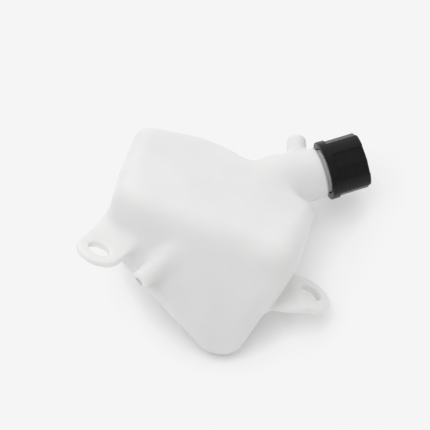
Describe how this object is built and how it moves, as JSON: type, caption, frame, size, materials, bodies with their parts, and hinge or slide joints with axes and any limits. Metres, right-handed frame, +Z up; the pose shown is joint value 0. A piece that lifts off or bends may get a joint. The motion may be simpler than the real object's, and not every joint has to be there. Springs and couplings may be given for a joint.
{
  "type": "coolant expansion tank",
  "caption": "Small blow-moulded coolant overflow tank with a screw-capped filler neck, mounting ears and hose nipples.",
  "frame": {"origin": "on the floor, in the base wall's flat face, under the middle of the body", "axes": "+X along the filler neck towards the cap, +Z up from the face that the tank lies on"},
  "size_m": [0.1776, 0.1353, 0.0728],
  "materials": {
    "tank_plastic": "satin translucent natural white polyethylene",
    "cap_plastic": "satin black moulded plastic",
    "seal_rubber": "matt black"
  },
  "bodies": {
    "tank": {"tank": "tank_plastic"},
    "seal": {"cap_seal": "seal_rubber"},
    "cap": {"cap": "cap_plastic"}
  },
  "joints": [
    {"name": "cap_lift", "type": "slide", "parent": "tank", "child": "seal", "axis": [1, 0, 0], "range_m": [0, 0.012]},
    {"name": "cap_turn", "type": "hinge", "parent": "seal", "child": "cap", "pos_m": [0.0782, 0.0211, 0.03], "axis": [1, 0, 0], "range_deg": [0, 1080]}
  ],
  "couplings": [
    {"joint": "cap_lift", "follows": "cap_turn", "m_per_rad": 0.0006366}
  ]
}
